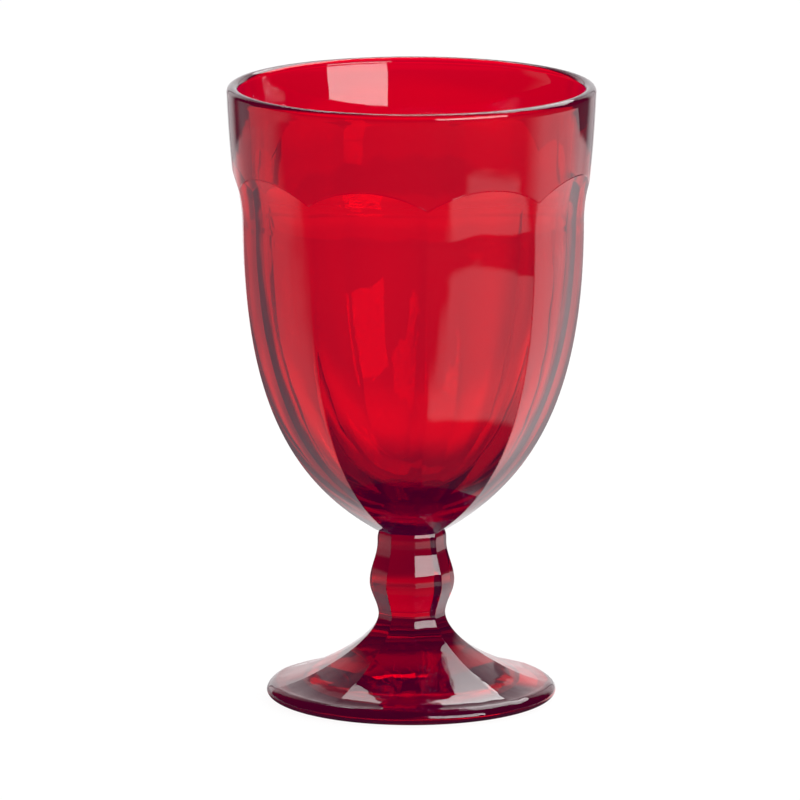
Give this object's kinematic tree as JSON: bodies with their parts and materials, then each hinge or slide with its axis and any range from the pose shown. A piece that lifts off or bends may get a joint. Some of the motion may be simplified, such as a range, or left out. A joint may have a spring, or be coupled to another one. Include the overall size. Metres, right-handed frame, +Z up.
{
  "type": "footed iced tea glass",
  "caption": "Tall ruby pressed-glass tumbler on a foot: panelled bowl with arched panel tops and a plain lip, short faceted stem with a knop, and a flared faceted foot.",
  "frame": {"origin": "centre of the foot's resting ring, on the surface that the glass stands on", "axes": "+Z up the glass's axis to the mouth, -Y towards the middle of a panel"},
  "size_m": [0.1016, 0.1016, 0.172],
  "materials": {
    "ruby_glass": "fire-polished, clear ruby"
  },
  "bodies": {
    "root": {"bowl": "ruby_glass", "stem": "ruby_glass", "foot": "ruby_glass"}
  },
  "joints": []
}
